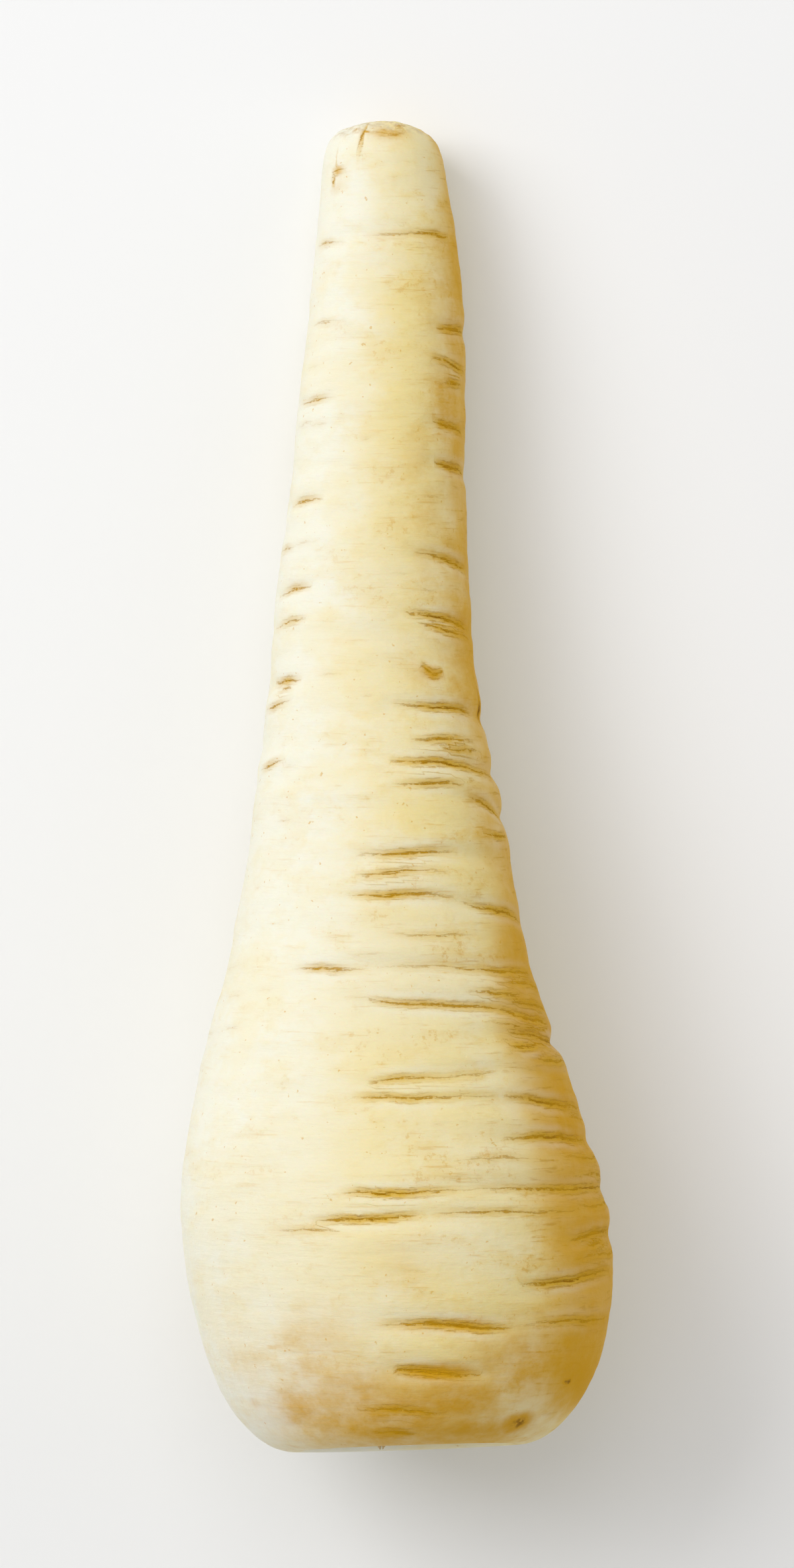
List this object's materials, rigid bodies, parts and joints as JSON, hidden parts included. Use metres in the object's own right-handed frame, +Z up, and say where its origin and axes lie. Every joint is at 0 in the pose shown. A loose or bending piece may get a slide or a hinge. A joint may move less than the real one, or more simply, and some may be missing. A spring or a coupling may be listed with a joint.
{
  "type": "parsnip",
  "caption": "Whole parsnip lying on its side: a cream taproot with a thick shoulder, tapered furrowed body and blunt trimmed tip, dry leaf stalk stubs and pale buds in its sunken crown.",
  "frame": {"origin": "middle of the box round the lying parsnip, on the surface it rests on", "axes": "+Y along the root from the crown to the trimmed tip, +X to the right seen from above with the tip away, +Z up"},
  "size_m": [0.052, 0.1625, 0.0511],
  "materials": {
    "cream_skin": "satin",
    "dry_stalk": "matte",
    "pale_bud": "satin"
  },
  "bodies": {
    "root": {"taproot": "cream_skin", "leaf_stalk_stubs": "dry_stalk", "crown_buds": "pale_bud"}
  },
  "joints": []
}
